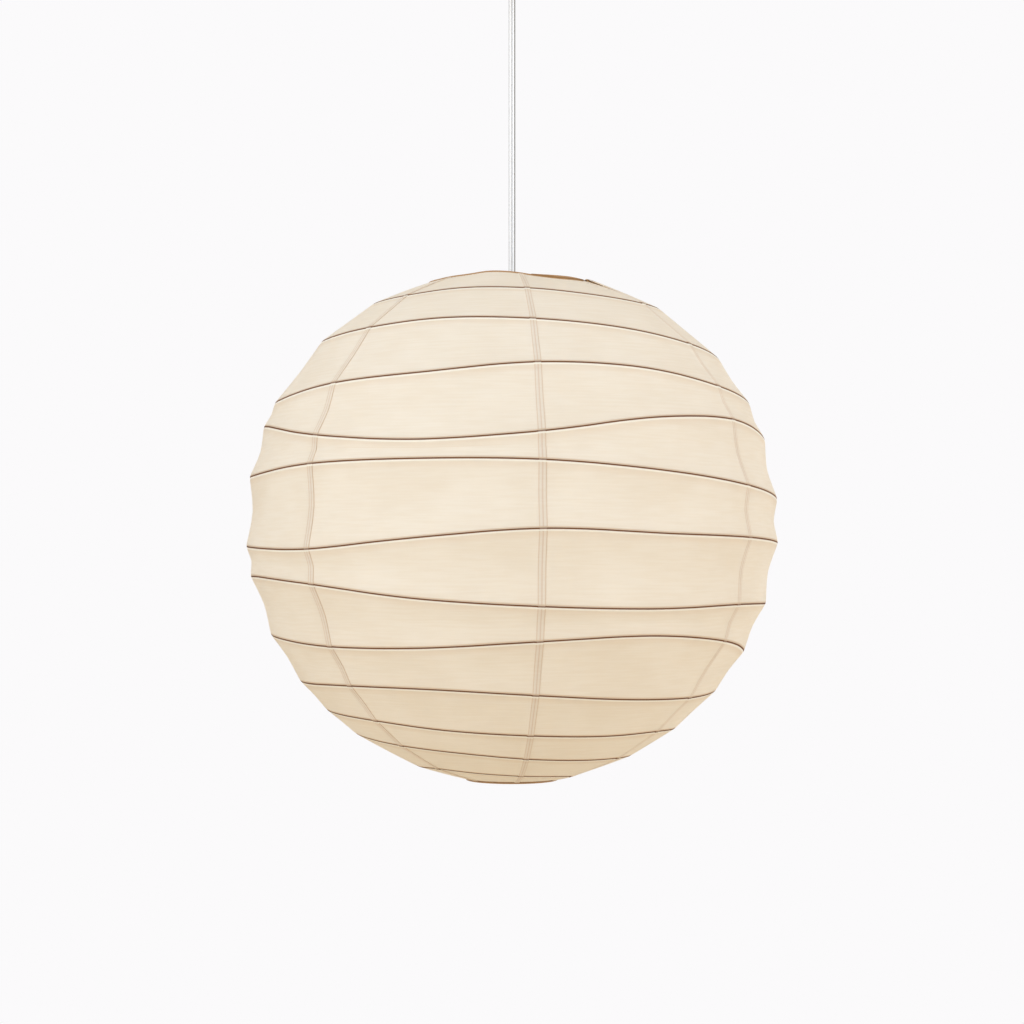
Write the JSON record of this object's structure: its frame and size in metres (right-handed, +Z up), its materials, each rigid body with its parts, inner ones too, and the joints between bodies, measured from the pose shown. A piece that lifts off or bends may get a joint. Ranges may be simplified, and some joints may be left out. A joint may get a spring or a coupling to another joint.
{
  "type": "paper lantern pendant lamp",
  "caption": "Round paper shade on a bamboo spiral, held open by a steel stretcher on a lampholder and hung by a flex from a ceiling hook under a cup.",
  "frame": {"origin": "middle of the ceiling plate's upper face, on the ceiling", "axes": "+Z up, the lamp hangs along -Z; -Y is the front, seen in the picture; +X to its right"},
  "size_m": [0.4486, 0.4493, 0.7665],
  "materials": {
    "paper": "unbleached mulberry paper, matt, faint fibres",
    "bamboo": "split bamboo, planed",
    "flex_pvc": "white twin flex",
    "cup_plastic": "moulded white, satin",
    "holder_plastic": "moulded white, satin",
    "nylon": "natural nylon",
    "porcelain": "unglazed white",
    "lead_insulation": "wire insulation",
    "zinc_steel": "bright zinc plate",
    "screw_steel": "zinc plate",
    "spring_steel": "white powder coat",
    "brass": "drawn",
    "opal_diffuser": "opal, satin",
    "bulb_plastic": "moulded white",
    "board_white": "solder mask",
    "board_green": "solder mask",
    "nickel": "nickel plate",
    "black_glass": "fused glass, black"
  },
  "bodies": {
    "ceiling_mount": {"ceiling_plate": "zinc_steel", "ceiling_hook": "zinc_steel"},
    "link": {"hanging_link": "zinc_steel"},
    "cord_set": {"cord_grip": "nylon", "grip_screw": "screw_steel", "supply_leads": "lead_insulation", "terminal_block": "nylon", "terminal_screws": "brass", "cord": "flex_pvc"},
    "cup": {"ceiling_cup": "cup_plastic", "cup_gland": "nylon", "gland_nut": "nylon", "gland_screw": "screw_steel"},
    "lamp": {"holder_cap": "holder_plastic", "holder_leads": "lead_insulation", "contact_carrier": "porcelain", "carrier_screws": "brass", "centre_contact": "brass", "thread_shell": "brass", "holder_body": "holder_plastic", "clamp_ring": "holder_plastic", "stretcher_plate": "spring_steel", "stretcher_arm_left": "spring_steel", "stretcher_arm_right": "spring_steel", "top_hoop": "bamboo", "top_hoop_lap": "bamboo", "rib_turn_1": "bamboo", "rib_turn_2": "bamboo", "rib_turn_3": "bamboo", "rib_turn_4": "bamboo", "rib_turn_5": "bamboo", "rib_turn_6": "bamboo", "rib_turn_7": "bamboo", "rib_turn_8": "bamboo", "rib_turn_9": "bamboo", "rib_turn_10": "bamboo", "rib_turn_11": "bamboo", "rib_turn_12": "bamboo", "rib_tail": "bamboo", "paper_gore_1": "paper", "paper_gore_2": "paper", "paper_gore_3": "paper", "paper_gore_4": "paper", "paper_gore_5": "paper", "paper_gore_6": "paper", "paper_gore_7": "paper"},
    "bulb": {"bulb_dome": "opal_diffuser", "bulb_housing": "bulb_plastic", "led_board": "board_white", "led_driver": "board_green", "bulb_cap": "nickel", "bulb_insulator": "black_glass", "bulb_contact": "nickel"},
    "leg_left": {"stretcher_leg_left": "spring_steel"},
    "leg_right": {"stretcher_leg_right": "spring_steel"},
    "lower_hoop": {"bottom_hoop": "bamboo"}
  },
  "joints": [
    {"name": "swing_front_back", "type": "hinge", "parent": "ceiling_mount", "child": "link", "pos_m": [0, 0, -0.022], "axis": [1, 0, 0], "range_deg": [-7, 7]},
    {"name": "swing_side", "type": "hinge", "parent": "link", "child": "cord_set", "pos_m": [0, 0, -0.03195], "axis": [0, 1, 0], "range_deg": [-7, 7]},
    {"name": "cup_slide", "type": "slide", "parent": "cord_set", "child": "cup", "axis": [0, 0, -1], "range_m": [0, 0.06]},
    {"name": "lamp_twist", "type": "hinge", "parent": "cord_set", "child": "lamp", "pos_m": [0, 0, -0.3567], "axis": [0, 0, 1], "range_deg": [-180, 180], "stiffness_Nm_per_rad": 0.002},
    {"name": "bulb_unscrew", "type": "slide", "parent": "lamp", "child": "bulb", "axis": [0, 0, -1], "range_m": [0, 0.026]},
    {"name": "leg_left_squeeze", "type": "hinge", "parent": "lamp", "child": "leg_left", "pos_m": [-0.033, 0, -0.4005], "axis": [0, -1, 0], "range_deg": [0, 1.2], "stiffness_Nm_per_rad": 3, "springref_deg": -0.57},
    {"name": "leg_right_squeeze", "type": "hinge", "parent": "lamp", "child": "leg_right", "pos_m": [0.033, 0, -0.4005], "axis": [0, 1, 0], "range_deg": [0, 1.2], "stiffness_Nm_per_rad": 3, "springref_deg": -0.57},
    {"name": "shade_fold", "type": "slide", "parent": "lamp", "child": "lower_hoop", "axis": [0, 0, 1], "range_m": [0, 0.36], "deforming": ["rib_turn_1", "rib_turn_2", "rib_turn_3", "rib_turn_4", "rib_turn_5", "rib_turn_6", "rib_turn_7", "rib_turn_8", "rib_turn_9", "rib_turn_10", "rib_turn_11", "rib_turn_12", "rib_tail", "paper_gore_1", "paper_gore_2", "paper_gore_3", "paper_gore_4", "paper_gore_5", "paper_gore_6", "paper_gore_7"]}
  ]
}
